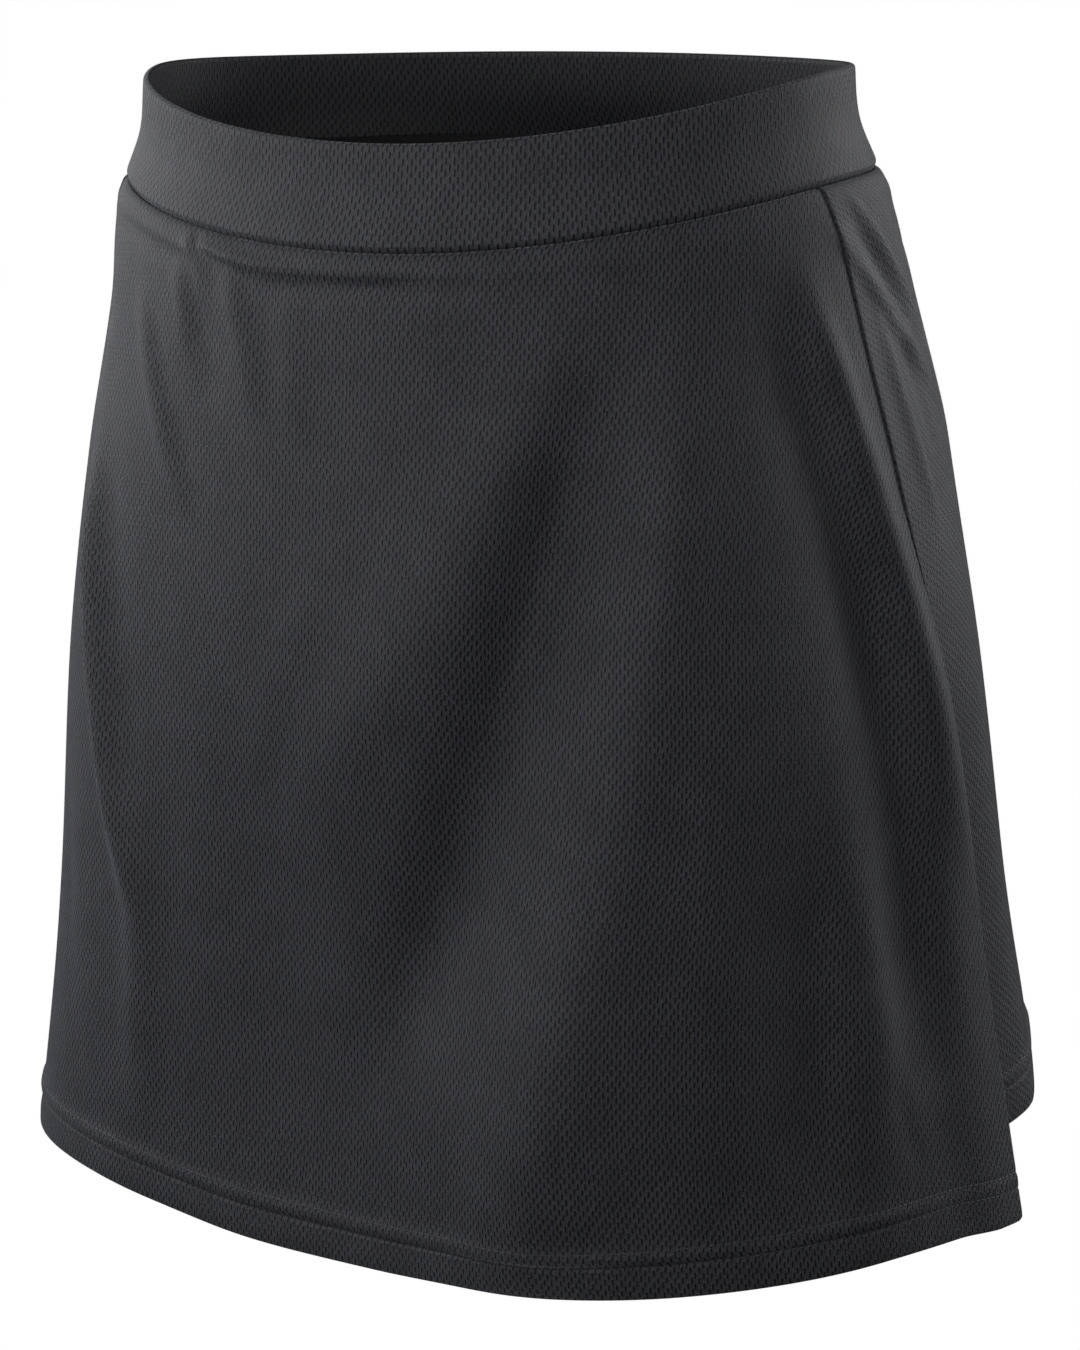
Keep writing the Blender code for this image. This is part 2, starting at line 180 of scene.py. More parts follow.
# Small creases: angle, drop, slant, length, width, height. Slant is in degrees below
# the horizontal towards +angle; length and width are in metres, and a trough has a negative height.
CREASES = (
    # pulled in under the waistband, wearer's right front
    (-5.0, 0.0480, -2.0, 0.056, 0.0030, -0.0026),
    (-25.0, 0.0455, 11.0, 0.030, 0.0016, -0.0014),
    (-44.0, 0.0465, 2.0, 0.070, 0.0034, -0.0012),
    (8.0, 0.0485, -3.0, 0.040, 0.0040, -0.0010),
    (-24.0, 0.0425, 3.0, 0.044, 0.0028, 0.0012),
    (-31.5, 0.0400, 62.0, 0.012, 0.0024, -0.0008),
    (-29.0, 0.0540, 46.0, 0.036, 0.0034, 0.0016),
    (-30.0, 0.0650, 62.0, 0.024, 0.0030, -0.0008),
    (-20.5, 0.0700, 66.0, 0.050, 0.0068, 0.0027),
    (-27.0, 0.0760, 78.0, 0.040, 0.0070, -0.0012),
    (-33.5, 0.0620, 70.0, 0.030, 0.0042, 0.0010),
    (-37.0, 0.0990, 58.0, 0.074, 0.0060, 0.0028),
    (-34.0, 0.1000, 57.0, 0.060, 0.0046, -0.0013),
    (-12.0, 0.0800, 84.0, 0.050, 0.0070, 0.0010),
    (-62.0, 0.0880, 84.0, 0.044, 0.0080, -0.0010),
    # along the side seam, wearer's left
    (85.0, 0.0835, 44.0, 0.084, 0.0036, 0.0020),
    (87.5, 0.0740, 44.0, 0.066, 0.0036, -0.0018),
    (88.5, 0.0640, 42.0, 0.060, 0.0022, 0.0016),
    (83.0, 0.1180, 80.0, 0.070, 0.0044, 0.0014),
    (88.5, 0.1080, 76.0, 0.050, 0.0050, -0.0010),
    (108.0, 0.0700, 40.0, 0.050, 0.0036, -0.0010),
    # wearer's right side and the back
    (-84.0, 0.0660, -58.0, 0.055, 0.0038, -0.0010),
    (-92.0, 0.0700, -54.0, 0.055, 0.0048, 0.0010),
    (-104.0, 0.0760, -48.0, 0.060, 0.0042, -0.0011),
    (140.0, 0.0520, 6.0, 0.070, 0.0036, -0.0010),
    (168.0, 0.0560, -8.0, 0.060, 0.0040, -0.0009),
    (205.0, 0.0500, 5.0, 0.080, 0.0034, -0.0011),
    (228.0, 0.0620, 38.0, 0.050, 0.0050, -0.0008),
    (152.0, 0.0850, -58.0, 0.060, 0.0065, 0.0009),
    (196.0, 0.0900, 66.0, 0.070, 0.0070, -0.0010),
    # faint dents lower down
    (-48.0, 0.1500, 66.0, 0.080, 0.0075, -0.0008),
    (-12.0, 0.1900, 110.0, 0.090, 0.0080, 0.0007),
    (24.0, 0.3300, 96.0, 0.080, 0.0070, -0.0007),
    (40.0, 0.2500, 98.0, 0.090, 0.0070, 0.0006),
    (-58.0, 0.3000, 78.0, 0.080, 0.0080, -0.0008),
    (62.0, 0.3600, 80.0, 0.030, 0.0045, -0.0009),
    (176.0, 0.2600, 92.0, 0.100, 0.0080, -0.0008),
    (130.0, 0.3000, 84.0, 0.080, 0.0070, 0.0007),
    (226.0, 0.2400, 98.0, 0.090, 0.0080, 0.0008),
)
# How much the hem bulges between its stitches, where it hangs slack: angle, slack
HEM_SLACK = (
    (-180.0, 0.8),
    (-150.0, 0.5),
    (-115.0, 0.9),
    (-85.0, 0.7),
    (-45.0, 1.3),
    (-10.0, 1.0),
    (28.0, 1.0),
    (42.0, 0.3),
    (54.0, 0.7),
    (66.0, 0.2),
    (86.0, 0.3),
    (104.0, 1.0),
    (132.0, 0.5),
    (156.0, 1.0),
    (180.0, 0.8),
)
SIDE_RISE = 0.0018          # the band's top edge is this much higher at the sides
SIDE_RISE_DROP = 0.025      # fading out over this drop
# How much lower the skirt's edges hang than the level line: angle, sag
SAGS = (
    (-180.0, 0.0000),
    (-90.0, -0.0010),
    (-64.0, -0.0034),
    (-46.0, -0.0030),
    (-33.0, -0.0010),
    (-18.0, 0.0024),
    (0.0, 0.0040),
    (12.0, 0.0026),
    (30.0, 0.0008),
    (56.0, -0.0010),
    (68.0, 0.0010),
    (83.0, 0.0056),
    (92.0, 0.0046),
    (108.0, 0.0008),
    (120.0, 0.0000),
    (180.0, 0.0000),
)
SAG_DROP = 0.240            # it sets in below this drop
# The back panel's columns beside the front panel's edge, close where it steps up: angles past the edge
LAP_COLUMNS = (-UNDERLAP_ANGLE, -4.6, -3.2, -2.0, -1.2, -0.6, -0.2, 0.0, 0.04, 0.08, 0.12, 0.2, 0.6, 1.4,
               2.6, 4.2)
ROW_STEP = 0.0027           # between the rows of a panel, where nothing is sewn
CUT_RADIUS = 0.62           # of the ring that a panel is cut from, at its waist edge
MEAN_RADIUS = 0.155         # turns angles into lengths round the body for the creases

# Waves of the cloth too shallow to count as folds: turns, phase, per_metre, height
RIPPLES = (
    (7.0, 0.4, 9.0, 0.00035),
    (11.0, 2.1, -14.0, 0.00028),
    (17.0, 4.0, 22.0, 0.00016),
    (5.0, 1.1, 31.0, 0.00022),
)


def smooth(share):
    """Ease from 0 to 1."""
    share = np.clip(share, 0.0, 1.0)
    return share * share * (3.0 - 2.0 * share)


def read_table(rows, column, where):
    """One column of a table at these values of its first column, along smooth curves."""
    table = np.array(rows)
    at, value = table[:, 0], table[:, column]
    before = np.maximum(np.arange(len(at)) - 1, 0)
    after = np.minimum(np.arange(len(at)) + 1, len(at) - 1)
    slope = (value[after] - value[before]) / (at[after] - at[before])
    where = np.clip(where, at[0], at[-1])
    low = np.clip(np.searchsorted(at, where, side="right") - 1, 0, len(at) - 2)
    span = at[low + 1] - at[low]
    share = (where - at[low]) / span
    bend = share * (1.0 - share) * span
    rise = value[low + 1] - value[low]
    return value[low] + rise * smooth(share) + bend * (slope[low] * (1.0 - share) - slope[low + 1] * share)


def away_from(angle, line):
    """Signed difference of two angles, the short way round."""
    return (angle - line + 180.0) % FULL_TURN - 180.0


def fold_height(angle, drop):
    """Sum of the large soft folds."""
    total = np.zeros(np.broadcast(angle, drop).shape)
    for angle_top, angle_low, start, full, fade, end, before, after, height in SKIRT_FOLDS:
        line = angle_top + (angle_low - angle_top) * (drop - start) / (end - start)
        strength = smooth((drop - start) / (full - start)) * (1.0 - smooth((drop - fade) / (end - fade)))
        beside = away_from(angle, line)
        total += height * strength * np.exp(-((beside / np.where(beside < 0.0, before, after)) ** 2))
    return total


def front_dip(angle, drop):
    """How much lower a level line lies at the centre front."""
    return read_table(FRONT_DIPS, 1, drop) * np.maximum(np.cos(np.radians(angle)), 0.0) ** 2


def ring_points(sections, angle, drop, swell=0.0):
    """Points of an oval section, moved out by swell, with the front's dip."""
    half_width = read_table(sections, 1, drop)
    turn = np.radians(angle)
    side, ahead = np.sin(turn), np.cos(turn)
    depth = np.where(ahead > 0.0, read_table(sections, 2, drop), read_table(sections, 3, drop))
    out_x, out_y = depth * side, -half_width * ahead
    length = np.hypot(out_x, out_y)
    return np.stack([half_width * side + swell * out_x / length,
                     -depth * ahead + swell * out_y / length,
                     -drop - front_dip(angle, drop)], axis=-1)


def plain_points(angle, drop):
    """Points of the band or skirt with its large folds."""
    points = ring_points(SKIRT_SECTIONS, angle, drop, fold_height(angle, drop))
    points[..., 2] += SIDE_RISE * np.sin(np.radians(angle)) ** 6 * (1.0 - smooth(drop / SIDE_RISE_DROP))
    sagging = smooth((drop - SAG_DROP) / (FRONT_HEM_DROP - SAG_DROP))
    points[..., 2] -= read_table(SAGS, 1, away_from(angle, 0.0)) * sagging
    return points


def plain_normals(angle, drop):
    """Unit normals of that surface, pointing out."""
    turn, fall = 0.5, 0.0008
    around = plain_points(angle + turn, drop) - plain_points(angle - turn, drop)
    down = plain_points(angle, drop + fall) - plain_points(angle, drop - fall)
    normal = np.cross(down, around)
    return normal / np.linalg.norm(normal, axis=-1, keepdims=True)


def edge_angle(drop):
    """Angle of the front panel's side edge."""
    return read_table(SIDE_EDGE, 1, drop)


def metres_per_degree(angle, drop):
    """Length round the body for one degree."""
    turn = np.radians(angle)
    ahead = np.cos(turn)
    depth = np.where(ahead > 0.0, read_table(SKIRT_SECTIONS, 2, drop), read_table(SKIRT_SECTIONS, 3, drop))
    return np.radians(np.hypot(read_table(SKIRT_SECTIONS, 1, drop) * ahead, depth * np.sin(turn)))


def groove(distance, width):
    """A sewn line's hollow: 1 on the line, with steep sides."""
    return np.exp(-np.abs(distance / width) ** 1.5)


def hump(distance, width):
    """A soft ridge: 1 on its line."""
    return np.exp(-((distance / width) ** 2))


def crease_height(angle, drop):
    """Sum of the small creases and ripples."""
    total = np.zeros(np.broadcast(angle, drop).shape)
    for angle_at, drop_at, slant, length, width, height in CREASES:
        across = np.radians(away_from(angle, angle_at)) * MEAN_RADIUS
        down = drop - drop_at
        turn = math.radians(slant)
        along = across * math.cos(turn) + down * math.sin(turn)
        beside = down * math.cos(turn) - across * math.sin(turn)
        total += height * hump(beside, width) * np.exp(-((2.0 * along / length) ** 4))
    total *= smooth((drop - BAND_DROP - 0.0005) / 0.004)
    settled = smooth((drop - BAND_DROP - 0.005) / 0.03)
    for turns, phase, per_metre, height in RIPPLES:
        total += settled * height * np.sin(turns * np.radians(angle) + phase + per_metre * drop)
    return total


def sewn_relief(angle, drop, hem_drop):
    """What the seams and stitches do to the surface."""
    # the waist seam draws the cloth in, and it puffs below, most on the wearer's right front
    uneven = 0.75 + 0.25 * np.sin(np.radians(3.0 * angle) + 1.0)
    uneven = uneven + 0.90 * hump(away_from(angle, -27.0), 15.0)
    total = -WAIST_GROOVE_DEPTH * groove(drop - BAND_DROP, WAIST_GROOVE_WIDTH)
    total += (WAIST_PUFF_HEIGHT * uneven * hump(drop - BAND_DROP - WAIST_PUFF_BELOW, WAIST_PUFF_WIDTH)
              * (drop > BAND_DROP))
    # the side seams, down to the vents: the back panel puffs up beside the front's sunk edge
    edge = edge_angle(drop)
    closed = (1.0 - smooth((drop - VENT_DROP + 0.02) / 0.03)) * (drop > BAND_DROP)
    for sign in (1.0, -1.0):
        beside = away_from(angle, sign * edge) * metres_per_degree(edge, drop) * sign
        total -= SIDE_SEAM_RELIEF * closed * groove(beside, SIDE_GROOVE_WIDTH) * (beside < 0.0)
        total += SIDE_SEAM_RELIEF * closed * hump(beside - 0.0004, SIDE_PUFF_WIDTH) * (beside >= 0.0)
    if hem_drop is None:
        return total
    # the coverstitched hem: the cloth rolls over the lower row, which lies in a groove, and on the
    # wearer's left the upper row draws in a little too
    side_angle = away_from(angle, 0.0)
    slack = read_table(HEM_SLACK, 1, side_angle)
    upper_row = smooth((side_angle - 15.0) / 20.0) * (1.0 - smooth((side_angle - 150.0) / 25.0))
    above = hem_drop - drop
    total -= LOW_ROW_DEPTH * slack * groove(above - COVER_LOW, LOW_ROW_WIDTH)
    total -= HIGH_ROW_DEPTH * upper_row * groove(above - COVER_HIGH, HIGH_ROW_WIDTH)
    total += HEM_ROLL_HEIGHT * slack * hump(above - COVER_LOW - HEM_ROLL_ABOVE, HEM_ROLL_WIDTH)
    total += HEM_EDGE_BULGE * slack * hump(above - COVER_LOW * 0.45, HEM_EDGE_WIDTH)
    return total


def cloth_points(angle, drop, out=0.0, hem_drop=None):
    """Points of the sewn cloth, moved out along the plain surface's normal."""
    drop_on_cloth = drop if hem_drop is None else np.minimum(drop, hem_drop)
    height = crease_height(angle, drop_on_cloth) + sewn_relief(angle, drop_on_cloth, hem_drop)
    return plain_points(angle, drop) + plain_normals(angle, drop) * np.asarray(out + height)[..., None]


def back_offset(past_edge, drop):
    """How far the back panel lies under the surface, at an angle past the front panel's edge."""
    open_share = smooth((drop - VENT_DROP) / VENT_EASE)
    lap = CLOTH_WALL + SEAM_GAP
    lap = lap + (HEM_WALL - CLOTH_WALL) * smooth((drop - (FRONT_HEM_DROP - HEM_DEPTH - HEM_LAP_EASE))
                                                 / HEM_LAP_EASE)
    seam_share = 1.0 - smooth(past_edge / SEAM_RISE_ANGLE)
    vent_share = 1.0 - smooth(past_edge / VENT_RISE_ANGLE)
    lap_share = seam_share + (vent_share - seam_share) * open_share
    return -lap * lap_share - VENT_DEPTH * open_share * vent_share


# ----------------------------------------
# Meshes
# ----------------------------------------
def add_object(name, data):
    """A smooth object in the scene from its mesh data."""
    data.shade_smooth()
    piece = bpy.data.objects.new(name, data)
    bpy.context.scene.collection.objects.link(piece)
    return piece


def grid_object(name, points, flat, closed=False, shaded_inner_face=None):
    """A grid of cloth from its points, shaped rows by columns with the top row first, and its flat cut
    as a UV map. The last argument is 1 for the rows that lie against the body, which the knit's material
    paints darker: painted shade of the garment's hollow inside."""
    points, flat = points[::-1], flat[::-1]
    rows, columns = points.shape[:2]
    grid = bmesh.new()
    bmesh.ops.create_grid(grid, x_segments=columns - 1, y_segments=rows - 1, size=0.5)
    mesh = bpy.data.meshes.new(name)
    grid.to_mesh(mesh)
    grid.free()
    unit = np.zeros(len(mesh.vertices) * 3)
    mesh.vertices.foreach_get("co", unit)
    unit = unit.reshape(-1, 3)
    column = np.rint((unit[:, 0] + 0.5) * (columns - 1)).astype(int)
    row = np.rint((unit[:, 1] + 0.5) * (rows - 1)).astype(int)
    mesh.vertices.foreach_set("co", points[row, column].ravel())
    corner = np.zeros(len(mesh.loops), int)
    mesh.loops.foreach_get("vertex_index", corner)
    layer = mesh.uv_layers.new(name="flat_cut")
    layer.data.foreach_set("uv", flat[row, column][corner].ravel())
    if shaded_inner_face is not None:
        inner = mesh.attributes.new("shaded_inner_face", "FLOAT", "POINT")
        inner.data.foreach_set("value", shaded_inner_face[::-1][row].astype(float))
    if closed:
        merged = bmesh.new()
        merged.from_mesh(mesh)
        bmesh.ops.remove_doubles(merged, verts=merged.verts, dist=0.00001)
        merged.to_mesh(mesh)
        merged.free()
    return add_object(name, mesh)


def give_wall(piece, thickness):
    """Turn a skin into cloth of this thickness, inwards."""
    wall = piece.modifiers.new("cloth_thickness", "SOLIDIFY")
    wall.thickness = thickness
    wall.offset = -1.0
    wall.use_even_offset = True
    wall.use_quality_normals = True


def lengths_from(points, column):
    """Signed lengths along each row of a grid, from one of its columns."""
    steps = np.linalg.norm(np.diff(points, axis=1), axis=-1)
    run = np.concatenate([np.zeros((len(points), 1)), np.cumsum(steps, axis=1)], axis=1)
    return run - run[:, column:column + 1]


def fan_cut(run, down):
    """Flat cut of a flared panel: a piece of a ring, with the knit's columns parallel to its middle."""
    radius = CUT_RADIUS + down
    return np.stack([radius * np.sin(run / radius), CUT_RADIUS - radius * np.cos(run / radius)], axis=-1)


def panel_rows(hem_drop):
    """The rows of a panel from the waist seam to the inside of its hem: the distance above the hem's
    edge for the rows on the outside, then the share of a half turn round the fold, then the distance
    back up inside."""
    top = hem_drop - BAND_DROP - SEAM_GAP / 2
    seam_zone = np.arange(14) * 0.0008
    hem_zone = 0.0010 * np.concatenate([np.arange(27, 14, -1), np.arange(14, 10.6, -0.4),
                                        np.arange(10, 2, -1)])
    count = int((top - seam_zone[-1] - hem_zone[0]) / ROW_STEP)
    middle = np.linspace(top - seam_zone[-1], hem_zone[0], count)[1:-1]
    outside = np.concatenate([top - seam_zone, middle, hem_zone])
    fold = np.linspace(0.0, 1.0, 8)
    inside = np.linspace(0.0, HEM_DEPTH, 10)[1:]
    return outside, fold, inside


def hem_layers(hem_drop, facing, corner):
    """Drops, depths under the surface and unfolded lengths for the rows of a panel.

    facing is 0 on a column's outer layer and 1 on the cloth turned in at the side; corner is 1 where
    the hem is turned up over that cloth."""
    outside, fold, inside = panel_rows(hem_drop)
    depth_before = facing * LAYER
    depth_after = LAYER * (1.0 + corner) - facing * (LAYER - LAYER_GAP)
    radius = (depth_after - depth_before) / 2
    centre = LAYER * (1.0 + corner) / 2
    columns = np.ones_like(facing)
    turn = math.pi * fold[:, None]
    drops = np.concatenate([hem_drop - outside[:, None] * columns,
                            hem_drop - centre + radius * np.sin(turn),
                            hem_drop - centre - inside[:, None] * columns])
    depths = np.concatenate([depth_before * np.ones_like(outside[:, None]),
                             depth_before + (depth_after - depth_before) * (1.0 - np.cos(turn)) / 2,
                             depth_after * np.ones_like(inside[:, None])])
    unfolded = np.concatenate([-outside, -LAYER / 2 + fold * math.pi * LAYER / 2,
                               -LAYER / 2 + math.pi * LAYER / 2 + inside])
    return drops, depths, unfolded + hem_drop - BAND_DROP


def side_columns():
    """One side edge of the front panel: each column's offset from the edge, and its share of facing."""
    radius = LAYER / 2
    near = np.linspace(-0.0085, -radius, 9)
    turn = np.linspace(0.0, math.pi, 7)[1:]
    facing = np.linspace(0.0, FACING_WIDTH, 5)[1:]
    offset = np.concatenate([near, -radius + radius * np.sin(turn), -radius - facing])
    share = np.concatenate([np.zeros_like(near), (1.0 - np.cos(turn)) / 2, np.ones_like(facing)])
    return offset, share


def build_front_panel():
    """Front of the skirt: side edges turned in, hem turned up over them."""
    offset, facing_side = side_columns()
    inner = np.linspace(-1.0, 1.0, 183)
    plain = np.zeros_like(inner)
    side = np.concatenate([-np.ones(len(offset)), np.sign(inner), np.ones(len(offset))])
    share = np.concatenate([np.ones(len(offset)), np.abs(inner), np.ones(len(offset))])
    offsets = np.concatenate([offset[::-1], plain + offset[0], offset])
    facing = np.concatenate([facing_side[::-1], plain, facing_side])
    keep = np.ones(len(side), bool)
    keep[[len(offset), len(offset) + len(inner) - 1]] = False
    side, share, offsets, facing = side[keep], share[keep], offsets[keep], facing[keep]

    edge_low = edge_angle(FRONT_HEM_DROP)
    rate_low = metres_per_degree(edge_low, FRONT_HEM_DROP)
    in_from_edge = (1.0 - share) * edge_low * rate_low - offsets
    corner = 1.0 - smooth((in_from_edge - FACING_WIDTH - 0.001) / 0.006)
    drops, depths, unfolded = hem_layers(FRONT_HEM_DROP, facing, corner)

    # round the lower corners
    from_side = np.broadcast_to(np.where(share < 1.0, CORNER_ROUNDING, -offsets), drops.shape)
    from_hem = FRONT_HEM_DROP - drops
    in_side = np.maximum(CORNER_ROUNDING - from_side, 0.0)
    in_hem = np.maximum(CORNER_ROUNDING - from_hem, 0.0)
    pull = np.maximum(in_side, in_hem) / np.maximum(np.hypot(in_side, in_hem), 1e-9)
    drops = np.where(in_hem > 0.0, FRONT_HEM_DROP - CORNER_ROUNDING + in_hem * pull, drops)
    side_offsets = np.where(in_side > 0.0, -CORNER_ROUNDING + in_side * pull,
                            np.broadcast_to(offsets, drops.shape))

    edge = edge_angle(drops)
    angle = side * share * (edge + side_offsets / metres_per_degree(edge, drops))
    points = cloth_points(angle, drops, -depths, FRONT_HEM_DROP)
    middle = len(side) // 2
    flat = fan_cut(lengths_from(points, middle), unfolded[:, None] * np.ones_like(angle))
    piece = grid_object("front_panel_cloth", points, flat)
    give_wall(piece, KNIT_WALL)
    return piece


def build_back_panel():
    """Back of the skirt, running on under the front panel's edges."""
    lap = np.array(LAP_COLUMNS)
    half = np.linspace(0.0, 1.0, 101)[1:]
    past = np.concatenate([lap, np.zeros(len(half))])
    share = np.concatenate([np.zeros(len(lap)), half])
    drops, depths, unfolded = hem_layers(BACK_HEM_DROP, np.zeros(len(past)), np.zeros(len(past)))
    edge = edge_angle(drops)
    past_edge = past + (lap[-1] + (180.0 - edge - lap[-1]) * share) * (share > 0.0)
    offset = back_offset(past_edge, drops)
    left = edge + past_edge
    angle = np.concatenate([left, FULL_TURN - left[:, -2::-1]], axis=1)
    out = np.concatenate([offset, offset[:, -2::-1]], axis=1)
    mirror = np.concatenate([np.arange(len(past)), np.arange(len(past) - 2, -1, -1)])
    points = cloth_points(angle, drops[:, mirror], out - depths[:, mirror], BACK_HEM_DROP)
    run = lengths_from(points, len(past) - 1)
    # the cut is turned over, so that the knit's slots lean the other way from the front's
    flat = fan_cut(-run, unfolded[:, None] * np.ones_like(angle))
    piece = grid_object("back_panel_cloth", points, flat)
    give_wall(piece, KNIT_WALL)
    return piece


def build_waistband():
    """One strip of cloth folded over at the top edge, all round."""
    columns = 420
    radius = BAND_WALL / 2
    outside = np.concatenate([BAND_DROP - np.arange(7) * 0.0007,
                              np.linspace(BAND_DROP - 0.0056, radius, 18)])
    turn = np.linspace(0.0, math.pi, 9)[1:-1]
    drop = np.concatenate([outside, radius - radius * np.sin(turn), outside[::-1]])[:, None]
    depth = np.concatenate([np.zeros(len(outside)), radius - radius * np.cos(turn),
                            np.full(len(outside), BAND_WALL)])[:, None]
    tucked = 0.0009 * smooth((drop - BAND_DROP + 0.0016) / 0.0016) * (depth > radius)
    angle = (np.arange(columns + 1) * FULL_TURN / columns - 180.0)[None, :]
    angle = angle * np.ones_like(drop)
    drop = drop * np.ones_like(angle)
    # the strip is wavy by a fraction of a millimetre where the elastic gathers it
    wave = 0.00003 * np.sin(np.radians(46.0 * angle) + 1.5 * np.sin(np.radians(3.0 * angle)))
    wave += 0.00020 * np.sin(np.radians(9.0 * angle) + 0.8)
    points = cloth_points(angle, drop, -depth + tucked + wave * smooth(drop / 0.010))
    # rows run from the inside's lower edge over the top and down the outside
    points = points[::-1]
    profile = np.linalg.norm(np.diff(points[:, columns // 2], axis=0), axis=-1)
    up = -np.concatenate([[0.0], np.cumsum(profile)])
    middle_row = lengths_from(points[-len(outside) // 2:][:1], columns // 2)[0]
    flat = np.stack([middle_row[None, :] * np.ones((len(up), 1)), up[:, None] * np.ones((1, columns + 1))],
                    axis=-1) / BAND_STRETCH
    # the band's inner rows are marked for painted shade
    piece = grid_object("waistband_cloth", points, flat, closed=True, shaded_inner_face=depth[::-1, 0] > radius)
    give_wall(piece, KNIT_WALL)
    return piece


def crotch_ring(turn):
    """The ring where hip and leg meet: round the outside over 0 to 1, back along the crotch over 1 to 2."""
    outer = np.clip(turn, 0.0, 1.0)
    hip = ring_points(SHORTS_SECTIONS, 180.0 * outer, CROTCH_SEAM_DROP * np.ones_like(turn))
    hip[..., 2] += front_dip(180.0 * outer, CROTCH_SEAM_DROP) - HIP_SIDE_DROP * np.sin(math.pi * outer)
    front, back = ring_points(SHORTS_SECTIONS, np.array([0.0, 180.0]), np.full(2, CROTCH_SEAM_DROP))[:, 1]
    inward = np.clip(turn - 1.0, 0.0, 1.0)
    lowered = (CROTCH_DROP - CROTCH_SEAM_DROP) * np.sin(math.pi * inward)
    seam = np.stack([np.zeros_like(turn),
                     (back + front) / 2 + (back - front) / 2 * np.cos(math.pi * inward),
                     -CROTCH_SEAM_DROP - lowered], axis=-1)
    return np.where((turn <= 1.0)[..., None], hip, seam)


def leg_ring(turn):
    """The leg's hem, an oval, in the same order as the crotch ring."""
    outer_span = 180.0 - 2.0 * LEG_OUTER_START
    angle = np.where(turn <= 1.0, LEG_OUTER_START + outer_span * turn,
                     LEG_OUTER_START + outer_span + (FULL_TURN - outer_span) * (turn - 1.0))
    angle = np.radians(angle)
    return np.stack([LEG_CENTRE_X + LEG_HALF_WIDTH * np.sin(angle), -LEG_HALF_DEPTH * np.cos(angle),
                     np.full_like(turn, -LEG_HEM_DROP)], axis=-1)


def build_shorts(name, mirrored):
    """One plain half of the inner shorts, its leg hem turned up."""
    outer_columns, inner_columns = 90, 40
    hip_rows, leg_rows = 46, 22
    turn = np.concatenate([np.linspace(0.0, 1.0, outer_columns + 1),
                           1.0 + np.linspace(0.0, 1.0, inner_columns + 1)[1:]])
    outer = np.clip(turn, 0.0, 1.0)
    rows = []
    for share in np.linspace(1.0, 0.0, hip_rows + 1)[:-1]:
        drop = CROTCH_SEAM_DROP + (SHORTS_TOP - CROTCH_SEAM_DROP) * share
        ring = ring_points(SHORTS_SECTIONS, 180.0 * outer, drop * np.ones_like(turn))
        ring[:, 2] += front_dip(180.0 * outer, drop) * (1.0 - share)
        ring[:, 2] -= HIP_SIDE_DROP * np.sin(math.pi * outer) * (1.0 - share) ** 2
        rows.append(ring)
    crotch, hem = crotch_ring(turn), leg_ring(turn)
    for share in np.linspace(0.0, 1.0, leg_rows):
        rows.append(crotch * (1.0 - share) + hem * share)
    inward = np.array([LEG_CENTRE_X, 0.0, 0.0]) - hem
    inward[:, 2] = 0.0
    inward /= np.linalg.norm(inward, axis=-1, keepdims=True)
    fold_depth = 2 * JERSEY_WALL + LAYER_GAP
    for half_turn in np.linspace(0.0, math.pi, 7)[1:]:
        lowered = np.array([0.0, 0.0, fold_depth / 2 * math.sin(half_turn)])
        rows.append(hem + inward * fold_depth * (1.0 - math.cos(half_turn)) / 2 - lowered)
    slope = (crotch - hem) / np.abs(crotch - hem)[:, 2:3]
    for back_up in np.linspace(0.0, HEM_DEPTH, 6)[1:]:
        rows.append(hem + inward * fold_depth + slope * back_up)
    points = np.array(rows)
    # slack cloth: shallow drag lines towards the crotch
    drag = np.sin(np.radians(720.0 * turn) + 14.0 * points[..., 2] / LEG_HEM_DROP)
    near_crotch = hump(points[..., 2] + CROTCH_DROP - 0.02, 0.05) * smooth(np.abs(turn - 0.5) * 2.0)
    points[..., 1] *= 1.0 + 0.006 * drag * near_crotch
    run = lengths_from(points, outer_columns // 2)
    down = np.concatenate([[0.0], np.cumsum(np.linalg.norm(np.diff(points[:, outer_columns // 2], axis=0),
                                                           axis=-1))])
    flat = np.stack([run, -down[:, None] * np.ones_like(run)], axis=-1)
    if mirrored:
        points = points * np.array([-1.0, 1.0, 1.0])
        points, flat = points[:, ::-1], flat[:, ::-1]
    piece = grid_object(name, points, flat)
    # the hip rows have no inner leg
    mesh = bmesh.new()
    mesh.from_mesh(piece.data)
    columns = len(turn) - 1
    total_rows = len(rows) - 1
    dropped = []
    for index, face in enumerate(mesh.faces):
        row_from_top = total_rows - 1 - index // columns
        column = index % columns
        column = columns - 1 - column if mirrored else column
        if column >= outer_columns and row_from_top < hip_rows:
            dropped.append(face)
    bmesh.ops.delete(mesh, geom=dropped, context="FACES")
    bmesh.ops.remove_doubles(mesh, verts=mesh.verts, dist=0.00001)
    mesh.to_mesh(piece.data)
    mesh.free()
    give_wall(piece, JERSEY_WALL)
    return piece


# ----------------------------------------
# Stitches
# ----------------------------------------
STITCH_PITCH = 0.0027
THREAD_WIDTH = 0.00042
STITCH_RISE = 0.00012       # the thread lies this far out in the middle of a stitch
STITCH_DIVE = 0.00050       # and this far in at the needle holes
THREAD_SIDES = 6


def mesh_object(name, mesh):
    """An object from a bmesh, shaded smooth."""
    data = bpy.data.meshes.new(name)
    mesh.to_mesh(data)
    mesh.free()
    return add_object(name, data)


